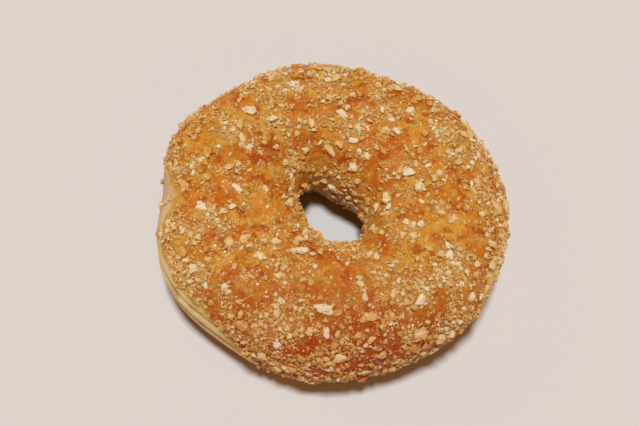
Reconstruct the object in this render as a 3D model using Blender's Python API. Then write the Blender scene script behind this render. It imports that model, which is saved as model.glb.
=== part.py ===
"""Crumb topped yeast doughnut: an uneven ring of raised dough, creased where its two fried halves
meet, flat where it rests, with the largest crumbs of its topping fused on. Metres, +Z up. The origin
is under the middle of the doughnut, on the surface that it rests on."""

import math
import random

import bmesh
import bpy
from mathutils import Matrix, Vector, noise

MM = 0.001

# The ring of dough, measured under the crumbs. Angles run anticlockwise from +X, seen from above.
RING_RADIUS = 47.9 * MM  # from the middle of the ring to the belly
RING_HEIGHT = 32.5 * MM
RING_CENTRE = Vector((0.44, 0.97, 0.0)) * MM  # brings the middle of the whole doughnut over the origin
OUTLINE_WAVES = (  # waves round the outline, height of each, angle of its first bulge
    (1, 0.3 * MM, math.radians(-127)),
    (2, 1.5 * MM, math.radians(10)),
    (3, 0.35 * MM, math.radians(29)),
    (4, 0.25 * MM, math.radians(12)),
    (6, 0.5 * MM, math.radians(-20)),
    (7, 0.55 * MM, math.radians(15)),
)
HOLE_LONG = 11.4 * MM  # half the hole's length and width at its narrowest
HOLE_SHORT = 8.4 * MM
HOLE_TURN = math.radians(-34)
HOLE_CENTRE = (-0.6 * MM, -0.8 * MM)
HOLE_WAVE = (3, 0.7 * MM, math.radians(149))  # waves round the hole, height, angle of the first bulge
HOLE_CORNER = (math.radians(127), 1.8 * MM, math.radians(16))  # where it is wider: angle, depth, half width

# The ring's section, a rounded oval that the table flattens underneath
BELLY_SHARE = 0.47  # height of the widest place, as a share of the ring's height
CROWN_POWER = 2.25  # 2 is a plain oval, more is squarer
BASE_POWER = 2.5
BASE_SINK = 1.3 * MM  # how much of the round base the table has flattened
HEIGHT_WAVE = (0.03, math.radians(60))  # share of the height, angle of the higher side
SWELL = ((0.8 * MM, 21 * MM), (0.3 * MM, 8 * MM))  # height and spacing of the dough's soft bumps

# The pale waist, bare of crumbs on one side, with creases that run along it
WAIST_TURN = math.radians(227)
WAIST_HALF = math.radians(25)  # fully bare this far either side
WAIST_FADE = math.radians(16)
WAIST_BULGE = 1.3 * MM  # the bare side stands out as far as the crumbs do elsewhere
CREASES = ((17.6 * MM, 0.75 * MM, 0.9 * MM), (12.6 * MM, 1.0 * MM, 1.1 * MM))  # height, depth, half width

# The mesh of the ring
STEPS_ROUND = 54
STEPS_SECTION = 30
BELLY_CROWDING = 0.35  # brings the rows closer together at the belly, where the creases are

# The crumb topping
CRUMB_LINE_LOW = 8.5 * MM  # crumbs reach down to here on the outside
CRUMB_LINE_HIGH = 21.5 * MM  # and to here above the bare waist
CRUMB_LINE_HOLE = 8.5 * MM  # and to here in the hole
CRUMB_LINE_WANDER = 2.5 * MM
CRUMB_LINE_WAVES = 4  # how fast the line wanders round the ring
CRUMB_SEED = 5
CRUMB_FLATNESS = (0.5, 0.75)  # height over length
CRUMB_WIDTH = (0.62, 0.95)  # width over length
CRUMB_SUNK = 0.36  # share of a crumb's height that sits in the glaze
CRUMB_TILT = 0.35
CRUMB_CORNER_TURN = 0.4  # how far a corner of a crumb strays from an even spacing
CRUMB_CORNER_REACH = (0.4, 0.62)  # corners' distance from its middle, over its length or width
CRUMB_CORNER_RISE = (0.35, 0.6)  # and over its height
CHUNKS = (
    # The chunks that stand out: angle in degrees, mm from the ring's middle, length and width in mm,
    # and the degrees that the length is turned from the way round the ring
    (125, 34.5, 4.0, 3.2, 0),
    (151, 34.5, 5.4, 3.2, 125),
    (182, 39.0, 3.6, 2.0, 80),
    (190, 36.5, 3.2, 2.5, 95),
    (184, 31.0, 3.6, 2.2, 130),
    (196, 28.0, 4.0, 2.5, 60),
    (203, 38.0, 3.6, 2.9, 50),
    (208, 32.5, 2.9, 2.2, 75),
    (183, 13.5, 4.0, 1.8, 120),
    (204, 14.0, 4.0, 2.7, 100),
    (136, 16.5, 3.2, 2.2, 120),
    (112, 14.0, 4.7, 2.2, 145),
    (118, 10.5, 2.9, 1.8, 5),
    (64, 32.0, 3.2, 2.9, 0),
    (62, 24.0, 3.1, 2.7, 20),
    (101, 23.0, 4.2, 2.0, 150),
    (89, 16.0, 3.2, 2.5, 35),
    (70, 13.5, 3.2, 2.9, 95),
    (78, 10.5, 3.2, 2.9, 0),
    (29, 20.0, 4.3, 2.8, 55),
    (12, 13.5, 4.0, 3.6, 0),
    (14, 36.5, 3.6, 2.2, 65),
    (357, 31.0, 2.9, 2.2, 135),
    (225, 30.0, 4.0, 2.5, 70),
    (237, 30.0, 4.0, 2.9, 30),
    (254, 21.5, 4.6, 2.9, 50),
    (224, 45.0, 2.9, 2.5, 70),
    (251, 31.0, 3.2, 2.2, 35),
    (275, 35.5, 6.0, 3.2, 175),
    (277, 41.0, 3.2, 2.5, 120),
    (258, 39.5, 2.9, 2.5, 85),
    (315, 37.5, 4.6, 2.6, 20),
    (283, 45.5, 4.0, 3.0, 0),
    (311, 43.5, 4.6, 3.9, 20),
    (293, 47.0, 6.5, 2.0, 165),
    (294, 37.0, 3.6, 3.2, 125),
    (352, 46.0, 3.2, 3.2, 0),
    (10, 44.0, 4.6, 3.2, 50),
    (249, 45.5, 4.0, 2.9, 5),
    (221, 47.5, 3.6, 3.0, 5),
)
BARE_PATCHES = (
    # Glaze that few crumbs cover: angle in degrees, mm from the ring's middle, radius in mm
    (229, 41.0, 6.0),
    (240, 42.5, 5.5),
    (151, 43.0, 5.0),
    (170, 44.5, 5.0),
    (95, 37.0, 5.0),
    (96, 28.5, 4.0),
    (56, 27.5, 5.5),
    (82, 13.0, 3.5),
    (61, 11.5, 4.5),
    (126, 27.0, 6.0),
    (213, 23.0, 5.0),
    (322, 41.0, 5.0),
    (266, 45.0, 3.5),
    (318, 16.5, 4.0),
    (8, 38.5, 4.5),
    (284, 30.0, 4.0),
    (275, 24.5, 4.5),
    (353, 37.0, 4.0),
)
CRUMB_GRADES = (
    # How many, shortest and longest
    (60, 3.0 * MM, 4.0 * MM),
    (215, 2.2 * MM, 3.0 * MM),
)
CRUMB_GAP = 0.62  # least distance between two crumbs, over half the sum of their lengths
TRIES_A_CRUMB = 400
CRUST_COLOUR = (0.52, 0.17, 0.025, 1.0)


def smooth_step(value):
    value = min(1.0, max(0.0, value))
    return value * value * (3 - 2 * value)


def turn_between(a, b):
    """The angle between two directions, 0 to pi."""
    return abs((a - b + math.pi) % math.tau - math.pi)


def waist_share(around):
    """1 on the side where the waist is bare, 0 where crumbs cover it."""
    return smooth_step((WAIST_HALF + WAIST_FADE - turn_between(around, WAIST_TURN)) / WAIST_FADE)


def outline_radius(around):
    waves = sum(height * math.cos(count * (around - turn)) for count, height, turn in OUTLINE_WAVES)
    return RING_RADIUS + waves + WAIST_BULGE * waist_share(around)


def hole_radius(around):
    """Distance from the ring's middle to the hole's uneven oval, in that direction."""
    count, height, bulge = HOLE_WAVE
    corner, depth, half_width = HOLE_CORNER
    uneven = height * math.cos(count * (around - bulge))
    uneven += depth * math.exp(-((turn_between(around, corner) / half_width) ** 2))
    turn = around - HOLE_TURN
    along, across = math.cos(turn) / HOLE_LONG, math.sin(turn) / HOLE_SHORT
    centre = Matrix.Rotation(-HOLE_TURN, 2) @ Vector(HOLE_CENTRE)
    off_along, off_across = centre.x / HOLE_LONG, centre.y / HOLE_SHORT
    square = along * along + across * across
    half = along * off_along + across * off_across
    rest = off_along * off_along + off_across * off_across - 1
    return (half + math.sqrt(half * half - square * rest)) / square + uneven


def ring_height(around):
    share, turn = HEIGHT_WAVE
    return RING_HEIGHT * (1 + share * math.cos(around - turn))


def dough_point(around, section):
    """A point on the dough. section runs from the belly (0) over the crown to the hole (pi) and back."""
    outer, inner = outline_radius(around), hole_radius(around)
    middle, half_width = (outer + inner) / 2, (outer - inner) / 2
    height = ring_height(around)
    belly = height * BELLY_SHARE
    c, s = math.cos(section), math.sin(section)
    power = CROWN_POWER if s > 0 else BASE_POWER
    half_height = height - belly if s > 0 else belly + BASE_SINK
    reach = (abs(c) ** power + abs(s) ** power) ** (-1 / power)
    radius = middle + half_width * c * reach
    z = belly + half_height * s * reach
    outward = Vector((c * math.cos(around), c * math.sin(around), s))
    place = Vector((radius * math.cos(around), radius * math.sin(around), z))
    bump = sum(size * noise.noise(place / spacing) for size, spacing in SWELL)
    if c > 0:
        bump -= waist_share(around) * sum(
            depth * math.exp(-(((z - level) / width) ** 2)) for level, depth, width in CREASES
        )
    place += outward * bump
    place.z = max(place.z, 0.0)
    return place + RING_CENTRE


def dough_frame(around, section):
    """The point, axes there (round the ring, across it, outward) and the area for a unit of both angles."""
    step = 0.01
    place = dough_point(around, section)
    along = (dough_point(around + step, section) - place) / step
    across = (dough_point(around, section + step) - place) / step
    outward = along.cross(across)
    x, z = along.normalized(), outward.normalized()
    return place, Matrix((x, z.cross(x), z)).transposed(), outward.length


def section_at(around, distance):
    """The section angle on the crown that is this far from the ring's middle, seen from above."""
    outer, inner = outline_radius(around), hole_radius(around)
    share = (distance - (outer + inner) / 2) / ((outer - inner) / 2)
    share = min(0.999, max(-0.999, share))
    rise = (1 - abs(share) ** CROWN_POWER) ** (1 / CROWN_POWER)
    return math.atan2(rise, share)


def crumb_cover(around, section, place, patches):
    """How thickly crumbs lie here, 0 to 1."""
    wander = CRUMB_LINE_WANDER * noise.noise(CRUMB_LINE_WAVES * Vector((math.cos(around), math.sin(around), 0)))
    bare = waist_share(around)
    line = CRUMB_LINE_LOW * (1 - bare) + CRUMB_LINE_HIGH * bare
    if math.cos(section) < 0:
        line = CRUMB_LINE_HOLE
    if place.z < line + wander:
        return 0.0
    cover = 1.0
    for centre, radius in patches:
        cover *= 1 - math.exp(-(((place - centre).length / radius) ** 2))
    return cover


def place_crumbs():
    """(place, axes, length, width, height) of each crumb, largest first."""
    draw = random.Random(CRUMB_SEED)
    patches = []
    for degrees, distance, radius in BARE_PATCHES:
        around = math.radians(degrees)
        patches.append((dough_point(around, section_at(around, distance * MM)), radius * MM))
    crumbs = []
    for degrees, distance, length, width, lie in CHUNKS:
        around = math.radians(degrees)
        place, stand, _ = dough_frame(around, section_at(around, distance * MM))
        stand = stand @ Matrix.Rotation(math.radians(lie), 3, "Z")
        height = width * draw.uniform(*CRUMB_FLATNESS) * MM
        crumbs.append((place, stand, length * MM, width * MM, height))
    most_area = 1.1 * RING_RADIUS * RING_HEIGHT
    for count, shortest, longest in CRUMB_GRADES:
        found = tries = 0
        while found < count and tries < TRIES_A_CRUMB * count:
            tries += 1
            around, section = draw.uniform(0, math.tau), draw.uniform(-0.5, math.pi + 0.5)
            place, stand, area = dough_frame(around, section)
            if draw.uniform(0, most_area) > area * crumb_cover(around, section, place, patches):
                continue
            length = draw.uniform(shortest, longest)
            if any((place - p).length < CRUMB_GAP * (length + size) / 2 for p, _, size, *_ in crumbs):
                continue
            width = length * draw.uniform(*CRUMB_WIDTH)
            height = length * draw.uniform(*CRUMB_FLATNESS)
            spin = Matrix.Rotation(draw.uniform(0, math.tau), 3, "Z")
            lean = Matrix.Rotation(draw.uniform(-CRUMB_TILT, CRUMB_TILT), 3, "X")
            crumbs.append((place, stand @ spin @ lean, length, width, height))
            found += 1
    return crumbs


def object_from(shape, name, material, collection):
    mesh = bpy.data.meshes.new(name)
    shape.to_mesh(mesh)
    shape.free()
    mesh.materials.append(material)
    made = bpy.data.objects.new(name, mesh)
    collection.objects.link(made)
    return made


def make_ring(material):
    """The dough: rows of points round the section, bridged all the way round the ring."""
    shape = bmesh.new()
    rows = []
    for i in range(STEPS_ROUND):
        around = math.tau * i / STEPS_ROUND
        row = []
        for j in range(STEPS_SECTION):
            even = math.tau * (j + 0.5 * (i % 2)) / STEPS_SECTION
            row.append(shape.verts.new(dough_point(around, even - BELLY_CROWDING * math.sin(even))))
        rows.append(row)
    for i in range(STEPS_ROUND):
        here, ahead = rows[i], rows[(i + 1) % STEPS_ROUND]
        for j in range(STEPS_SECTION):
            k = (j + 1) % STEPS_SECTION
            if i % 2 == 0:
                shape.faces.new((here[j], ahead[j], here[k]))
                shape.faces.new((here[k], ahead[j], ahead[k]))
            else:
                shape.faces.new((here[j], ahead[j], ahead[k]))
                shape.faces.new((here[j], ahead[k], here[k]))
    bmesh.ops.recalc_face_normals(shape, faces=shape.faces)
    return object_from(shape, "doughnut", material, bpy.context.scene.collection)


def make_crumb(crumb, shapes, material, collection):
    """One broken crumb: a rough flattened lump, partly sunk in the glaze."""
    place, stand, length, width, height = crumb
    shape = bmesh.new()
    top, low = [], []
    for corner in range(3):
        for points, side, start in ((top, 1, 0.0), (low, -1, math.pi / 3)):
            angle = start + math.tau * corner / 3 + shapes.uniform(-CRUMB_CORNER_TURN, CRUMB_CORNER_TURN)
            reach = shapes.uniform(*CRUMB_CORNER_REACH)
            rise = side * shapes.uniform(*CRUMB_CORNER_RISE)
            points.append(shape.verts.new((reach * math.cos(angle), reach * math.sin(angle), rise)))
    shape.faces.new(top)
    shape.faces.new(low[::-1])
    for corner in range(3):
        ahead = (corner + 1) % 3
        shape.faces.new((top[corner], low[corner], top[ahead]))
        shape.faces.new((low[corner], low[ahead], top[ahead]))
    centre = place + stand @ Vector((0, 0, height * (0.5 - CRUMB_SUNK)))
    size = Matrix.Diagonal((length, width, height, 1.0))
    shape.transform(Matrix.Translation(centre) @ stand.to_4x4() @ size)
    return object_from(shape, "crumb", material, collection)


def fuse(ring, pieces):
    """Joins the pieces of a collection to the ring in one union, and removes them."""
    union = ring.modifiers.new("crumbs", "BOOLEAN")
    union.operation = "UNION"
    union.operand_type = "COLLECTION"
    union.collection = pieces
    union.solver = "MANIFOLD"
    graph = bpy.context.evaluated_depsgraph_get()
    fused = bpy.data.meshes.new_from_object(ring.evaluated_get(graph))
    ring.modifiers.clear()
    ring.data = fused
    for piece in list(pieces.objects):
        bpy.data.objects.remove(piece)
    bpy.data.collections.remove(pieces)


def make_material():
    material = bpy.data.materials.new("glazed_crust")
    material.use_nodes = True
    surface = material.node_tree.nodes["Principled BSDF"]
    surface.inputs["Base Color"].default_value = CRUST_COLOUR
    surface.inputs["Roughness"].default_value = 0.35
    surface.inputs["Metallic"].default_value = 0.0
    return material


def main():
    for old in list(bpy.data.objects):
        bpy.data.objects.remove(old)
    crust = make_material()
    ring = make_ring(crust)
    pieces = bpy.data.collections.new("crumbs")
    bpy.context.scene.collection.children.link(pieces)
    shapes = random.Random(CRUMB_SEED + 1)
    for crumb in place_crumbs():
        make_crumb(crumb, shapes, crust, pieces)
    fuse(ring, pieces)


main()
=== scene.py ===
"""Looks of the crumb topped yeast doughnut: a glazed ring of dough with a pale waist, its topping of
chunks, crumbs and grains as mesh at true size, and a plain floor, light and camera. Metres, +Z up."""

import math
import random

import bmesh
import bpy
import numpy as np
from mathutils import Matrix, Vector, noise


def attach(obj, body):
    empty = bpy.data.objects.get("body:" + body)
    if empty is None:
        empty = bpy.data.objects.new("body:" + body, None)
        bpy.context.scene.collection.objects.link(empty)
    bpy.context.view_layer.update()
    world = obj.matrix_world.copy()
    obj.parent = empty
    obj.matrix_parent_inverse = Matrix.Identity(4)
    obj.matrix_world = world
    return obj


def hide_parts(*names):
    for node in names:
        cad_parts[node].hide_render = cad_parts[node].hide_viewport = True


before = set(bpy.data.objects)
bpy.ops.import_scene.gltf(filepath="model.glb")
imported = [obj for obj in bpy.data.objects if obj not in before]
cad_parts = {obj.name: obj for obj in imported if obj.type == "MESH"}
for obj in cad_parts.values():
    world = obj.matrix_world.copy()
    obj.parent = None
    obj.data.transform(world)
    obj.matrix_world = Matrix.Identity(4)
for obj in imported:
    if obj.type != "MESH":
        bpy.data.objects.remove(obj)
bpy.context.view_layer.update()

bl_info = {
    "name": "Crumb Topped Doughnut",
    "version": (1, 0, 0),
    "blender": (4, 5, 0),
    "location": "View3D > Sidebar > Doughnut",
    "description": "Builds a glazed yeast doughnut with a topping of broken crumbs",
    "category": "Add Mesh",
}

MM = 0.001
NODE = "doughnut"

# ----------
# The form of the ring, as its solid has it
# ----------
# Angles run anticlockwise from +X, seen from above.
RING_RADIUS = 47.9 * MM  # from the middle of the ring to the belly
RING_HEIGHT = 32.5 * MM
RING_CENTRE = Vector((0.44, 0.97, 0.0)) * MM
OUTLINE_WAVES = (  # waves round the outline, height of each, angle of its first bulge
    (1, 0.3 * MM, math.radians(-127)),
    (2, 1.5 * MM, math.radians(10)),
    (3, 0.35 * MM, math.radians(29)),
    (4, 0.25 * MM, math.radians(12)),
    (6, 0.5 * MM, math.radians(-20)),
    (7, 0.55 * MM, math.radians(15)),
)
HOLE_LONG = 11.4 * MM  # half the hole's length and width at its narrowest
HOLE_SHORT = 8.4 * MM
HOLE_TURN = math.radians(-34)
HOLE_CENTRE = (-0.6 * MM, -0.8 * MM)
HOLE_WAVE = (3, 0.7 * MM, math.radians(149))  # waves round the hole, height, angle of the first bulge
HOLE_CORNER = (math.radians(127), 1.8 * MM, math.radians(16))  # where it is wider: angle, depth, half width

# The ring's section, a rounded oval that the table flattens underneath
BELLY_SHARE = 0.47  # height of the widest place, as a share of the ring's height
CROWN_POWER = 2.25  # 2 is a plain oval, more is squarer
BASE_POWER = 2.5
BASE_SINK = 1.3 * MM  # how much of the round base the table has flattened
HEIGHT_WAVE = (0.03, math.radians(60))  # share of the height, angle of the higher side
SWELL = ((0.8 * MM, 21 * MM), (0.3 * MM, 8 * MM))  # height and spacing of the dough's soft bumps

# The pale waist, bare of crumbs on one side, with creases that run along it
WAIST_TURN = math.radians(227)
WAIST_HALF = math.radians(25)  # fully bare this far either side
WAIST_FADE = math.radians(16)
WAIST_BULGE = 1.3 * MM  # the bare side stands out as far as the crumbs do elsewhere
CREASES = ((17.6 * MM, 0.75 * MM, 0.9 * MM), (12.6 * MM, 1.0 * MM, 1.1 * MM))  # height, depth, half width

# The topping's large crumbs, as they are fused to the solid
CRUMB_LINE_LOW = 8.5 * MM  # crumbs reach down to here on the outside
CRUMB_LINE_HIGH = 21.5 * MM  # and to here above the bare waist
CRUMB_LINE_HOLE = 8.5 * MM  # and to here in the hole
CRUMB_LINE_WANDER = 2.5 * MM
CRUMB_LINE_WAVES = 4  # how fast the line wanders round the ring
CRUMB_SEED = 5
CRUMB_FLATNESS = (0.5, 0.75)  # height over length
CRUMB_WIDTH = (0.62, 0.95)  # width over length
CRUMB_SUNK = 0.36  # share of a crumb's height that sits in the glaze
CRUMB_TILT = 0.35
CHUNKS = (
    # The chunks that stand out: angle in degrees, mm from the ring's middle, length and width in mm,
    # the degrees that the length is turned from the way round the ring, and the kind
    (125, 34.5, 4.0, 3.2, 0, "pale"),
    (151, 34.5, 5.4, 3.2, 125, "pale"),
    (182, 39.0, 3.6, 2.0, 80, "pale"),
    (190, 36.5, 3.2, 2.5, 95, "toasted"),
    (184, 31.0, 3.6, 2.2, 130, "cream"),
    (196, 28.0, 4.0, 2.5, 60, "pale"),
    (203, 38.0, 3.6, 2.9, 50, "pale"),
    (208, 32.5, 2.9, 2.2, 75, "cream"),
    (183, 13.5, 4.0, 1.8, 120, "cream"),
    (204, 14.0, 4.0, 2.7, 100, "pale"),
    (136, 16.5, 3.2, 2.2, 120, "cream"),
    (112, 14.0, 4.7, 2.2, 145, "cream"),
    (118, 10.5, 2.9, 1.8, 5, "cream"),
    (64, 32.0, 3.2, 2.9, 0, "pale"),
    (62, 24.0, 3.1, 2.7, 20, "pale"),
    (101, 23.0, 4.2, 2.0, 150, "pale"),
    (89, 16.0, 3.2, 2.5, 35, "pale"),
    (70, 13.5, 3.2, 2.9, 95, "cream"),
    (78, 10.5, 3.2, 2.9, 0, "pale"),
    (29, 20.0, 4.3, 2.8, 55, "pale"),
    (12, 13.5, 4.0, 3.6, 0, "cream"),
    (14, 36.5, 3.6, 2.2, 65, "cream"),
    (357, 31.0, 2.9, 2.2, 135, "cream"),
    (225, 30.0, 4.0, 2.5, 70, "cream"),
    (237, 30.0, 4.0, 2.9, 30, "pale"),
    (254, 21.5, 4.6, 2.9, 50, "pale"),
    (224, 45.0, 2.9, 2.5, 70, "pale"),
    (251, 31.0, 3.2, 2.2, 35, "cream"),
    (275, 35.5, 6.0, 3.2, 175, "pale"),
    (277, 41.0, 3.2, 2.5, 120, "pale"),
    (258, 39.5, 2.9, 2.5, 85, "cream"),
    (315, 37.5, 4.6, 2.6, 20, "pale"),
    (283, 45.5, 4.0, 3.0, 0, "pale"),
    (311, 43.5, 4.6, 3.9, 20, "cream"),
    (293, 47.0, 6.5, 2.0, 165, "cream"),
    (294, 37.0, 3.6, 3.2, 125, "cream"),
    (352, 46.0, 3.2, 3.2, 0, "cream"),
    (10, 44.0, 4.6, 3.2, 50, "cream"),
    (249, 45.5, 4.0, 2.9, 5, "toasted"),
    (221, 47.5, 3.6, 3.0, 5, "toasted"),
)
BARE_PATCHES = (
    # Glaze that few crumbs cover: angle in degrees, mm from the ring's middle, radius in mm
    (229, 41.0, 6.0),
    (240, 42.5, 5.5),
    (151, 43.0, 5.0),
    (170, 44.5, 5.0),
    (95, 37.0, 5.0),
    (96, 28.5, 4.0),
    (56, 27.5, 5.5),
    (82, 13.0, 3.5),
    (61, 11.5, 4.5),
    (126, 27.0, 6.0),
    (213, 23.0, 5.0),
    (322, 41.0, 5.0),
    (266, 45.0, 3.5),
    (318, 16.5, 4.0),
    (8, 38.5, 4.5),
    (284, 30.0, 4.0),
    (275, 24.5, 4.5),
    (353, 37.0, 4.0),
)
CRUMB_GRADES = (
    # How many, shortest and longest
    (60, 3.0 * MM, 4.0 * MM),
    (215, 2.2 * MM, 3.0 * MM),
)
CRUMB_GAP = 0.62  # least distance between two crumbs, over half the sum of their lengths
TRIES_A_CRUMB = 400
FUSED_KINDS = (("toasted", 0.28), ("glazed", 0.14), ("cream", 0.44), ("pale", 0.14))  # shares of the rest

# ----------
# Finer sizes, which only the looks have
# ----------
STEPS_ROUND = 420
STEPS_SECTION = 216
BELLY_CROWDING = 0.2  # how much closer the points lie at the belly
GLAZE_LUMPS = ((0.26 * MM, 3.1 * MM), (0.16 * MM, 1.5 * MM))  # height and spacing
DOUGH_WRINKLES = (0.16 * MM, 7.0 * MM, 1.1 * MM)  # height, spacing round the ring and up the side
CRUST_PITS = (0.12 * MM, 1.8 * MM)
WAIST_LOW = 7.0 * MM  # the pale dough is above this, the browned base below
WAIST_EDGE = 2.0 * MM
WAIST_WANDER, WAIST_WANDER_SPACING = 2.2 * MM, 9.0 * MM
LINE_WIDTH = 2.0 * MM  # over which the glaze ends, at the crumb line

CORNER_REACH = (0.44, 0.6)  # of a crumb's corners, over its size
KNOB_REACH, KNOB_CORNERS = (0.28, 0.42), 9  # how far out a crumb's knobs sit, over its size
CHUNK_FORM = (20, 3, 0.55, 10, (0.22, 0.4))  # corners, cuts, roughness, knobs and their sizes, over its size
SMALL_FORM = (10, 1, 0.5, 3, (0.35, 0.5))
GRAIN_FORM = (8, 0, 0.0, 0, ())
ROUGH_OCTAVES = ((1.0, 0.42), (0.6, 0.2), (0.3, 0.11))  # share and spacing, over its size
ROUGH_SHIFT = 7.3  # from one shape to the next, so that no two are rough alike
CRUMB_FLOOR = 0.3 * MM  # no crumb reaches lower
TAKEN_CELL = 3.0 * MM  # cells that near crumbs are looked up in
BARE_SHARE = 0.1  # how thickly the finer crumbs lie on the bare patches
RIM_EXTRA = 1.6  # how much thicker the finer crumbs lie on the outer slopes
CLUMP_SPACINGS = (9.0 * MM, 3.4 * MM)  # of the clumps that the finer crumbs lie in
CLUMP_STRENGTH, CLUMP_CONTRAST = 0.85, 3.4
DUST_CONTRAST = 2.0  # of the crumb dust that fills the glaze between the clumps' crumbs

KIND_SEED = 21
CRUMB_KINDS = {
    # Light and dark tone, how much glaze the crumb has drunk in, roughness, strength of its coat
    "pale": ("pale_crumb", "cream_crumb", 0.2, 0.75, 0.0),
    "cream": ("cream_crumb", "toasted_crumb", 0.4, 0.65, 0.1),
    "toasted": ("toasted_crumb", "toasted_dark", 0.55, 0.55, 0.1),
    "glazed": ("glazed_crumb", "toasted_dark", 0.65, 0.3, 0.25),
    # soaked crumbs take the hole wall's lightened glaze colour, painted light included
    "soaked": ("thin_glaze_and_painted_light", "glazed_crumb", 0.3, 0.4, 0.1),
}
FINER_CRUMBS = (
    # Kind, shortest and longest, flatness, seed
    ("pale", 1.1 * MM, 2.4 * MM, (0.45, 0.75), 31),
    ("cream", 1.0 * MM, 2.4 * MM, (0.45, 0.75), 32),
    ("toasted", 1.0 * MM, 2.3 * MM, (0.4, 0.7), 33),
    ("glazed", 1.0 * MM, 2.2 * MM, (0.3, 0.55), 34),
)
WALL_CRUMBS = (
    # Crumbs that cling low in the hole: angle, section in degrees, length and width in mm, kind
    (104, 178, 3.8, 2.4, "pale"),
    (96, 192, 2.6, 2.0, "pale"),
    (86, 184, 2.2, 1.7, "pale"),
    (80, 170, 1.8, 1.4, "pale"),
    (74, 190, 2.6, 2.0, "cream"),
    (66, 180, 2.2, 1.6, "pale"),
    (58, 188, 2.2, 1.8, "cream"),
    (50, 178, 2.4, 1.8, "pale"),
    (112, 190, 2.4, 1.6, "cream"),
    (122, 184, 2.2, 1.6, "pale"),
    (44, 190, 2.2, 1.7, "cream"),
)
FINER_GAP = 0.62  # as CRUMB_GAP
DRAWS_A_CRUMB = 6  # places tried for each, because many are too near others
LARGE_CRUMB = 2.2 * MM  # from this length on, a crumb gets a finer mesh
LARGE_SHAPES, SMALL_SHAPES = 12, 16  # how many shapes there are of each kind
KIND_STEP, SMALL_STEP = 40, 20  # between the seeds of two kinds, and of large and small crumbs
GRAIN_SIZES, GRAIN_FLATNESS, GRAIN_GAP = (0.4 * MM, 0.95 * MM), (0.5, 0.9), 0.5
GRAIN_BARE_SHARE = 0.5  # how thickly the grains lie on the bare patches
GRAIN_SHAPES = 12
GRAIN_SHAPE_SEED, GRAIN_PLACE_SEED, GRAIN_TONE_SEED = 500, 77, 9
GRAIN_LOOK = (0.3, 0.35, 0.35)  # glaze drunk in, roughness, strength of the coat

# Soft patches: spacing, how few there are, softness of their edge
AMBER_PATCHES = (11 * MM, 0.5, 0.12)
GOLD_PATCHES = (6 * MM, 0.58, 0.08)
BROWN_PATCHES = (3.2 * MM, 0.58, 0.08)
FLECK_PATCHES = (5 * MM, 0.42, 0.14)
WET_PATCHES = (6 * MM, 0.45, 0.15)
BLOTCHES = (2.5 * MM, 0.6, 0.12)
CREASE_BREAKS = (5 * MM, 0.45, 0.15)
CRUST_PATCHES = (6 * MM, 0.5, 0.2)
CRUMB_STAINS = (2.2 * MM, 0.52, 0.15)
# Small lumps packed side by side: spacing and how uneven they are
FLECKS = (1.25 * MM, 0.7)
GLAZE_GRAIN = (0.55 * MM, 0.9)
CRUMB_GRAIN = (0.5 * MM, 0.8)
PATCH_DETAIL, WARP_DETAIL, WARP_WAVES = 3, 2, 1.3  # of the noise in the patches, and in the uneven lumps
LUMP_EDGE = 0.75  # how far from its middle a lump ends, over the spacing
# Which lumps differ: the picks where that starts and is full, and the shares there
FLECK_PICK = (0.55, 1.0)
LIGHT_PICK = (0.6, 1.0, 0.0, 0.5)
DARK_PICK = (0.35, 0.0, 0.0, 0.3)
GLINT_PICK = (0.6, 0.7, 0.0, 0.5)
BROWN_DEPTH, WALL_DEPTH, DUST_DEPTH, SIDE_SHADE_VEIL = 0.8, 0.9, 0.5, 0.4  # share of each colour at its fullest
RIM_DEPTH = 4.0  # makes the glaze's edge full where it is half glazed
DRY_ROUGHNESS, WET_ROUGHNESS = 0.85, 0.1
FINE_HEIGHT = 0.8  # of the glaze's grain, over its flecks
GLAZE_BUMP, CRUMB_BUMP = 0.2 * MM, 0.06 * MM
TINT_CURVE = 1.5  # more than 1 makes dark crumbs rarer
GRAIN_TONE, SIDE_SHADE_TONE, STAIN_DEPTH = 0.2, 0.22, 0.8  # shares of each at its fullest, on a crumb
FOOT_TOP = 0.75  # how far up a crumb the glaze has risen, over its height

GLAZE_SCATTER = (0.6, (1.0, 0.35, 0.08), 2.5 * MM)  # share, reach by colour, scale
CRUMB_SCATTER = (0.2, (1.0, 0.6, 0.35), 0.35 * MM)
GLAZE_GLOSS, CRUMB_GLOSS = 0.15, 0.25
COAT_ROUGHNESS = 0.17
SHADED_SIDE = (0.24, -0.97, 0.0)  # the side where the glaze is painted darkest and reddest, as painted shade
SIDE_SHADE_RAMP = (20 * MM, 43 * MM, 0.0, 0.95)  # where it starts and is full, that way from the middle; shares
LINE_SHIFTS = (
    # Where the glaze and the finer crumbs end higher or lower: angle, half width, rise
    (math.radians(187), math.radians(13), 15.5 * MM),
    (math.radians(258), math.radians(12), -9.0 * MM),
)
RAGGED_EDGE, RAGGED_SPACING = 1.8 * MM, 2.6 * MM  # of the line that the glaze ends at
GLAZE_LOWEST = 2.2 * MM  # no glaze reaches lower, so the base is bare
CRUMBS_STOP = 0.6 * MM  # how far above the glaze's edge the finer crumbs end
HOLE_CRUMBS_STOP = 4.0 * MM  # and in the hole
DEEP_TOP, DEEP_EDGE = 8.0 * MM, 3.0 * MM  # the hole's dark crust, partly painted shade low in the hole, starts here and is full this far down
WALL_TOP, WALL_EDGE = 27.0 * MM, 9.0 * MM  # the same for the hole's wall, whose thin glaze is painted lighter as painted light on the shaded wall
HOLE_THINNING = 0.85  # share of the finer crumbs that are missing on the hole's wall
SOAKED_TOP, SOAKED_WIDTH = 24.5 * MM, 5.5 * MM  # how high and how far from the hole crumbs are soaked
CREASE_LINE = 0.8 * MM  # half width of the olive line of painted shade in a crease
CREASE_WAVER, CREASE_WAVER_SPACING = 1.3 * MM, 6.0 * MM
PINK_LOW, PINK_EDGE = 9.0 * MM, 4.0 * MM  # the waist turns pinkish towards its lower edge, as painted shade near the floor
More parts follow.
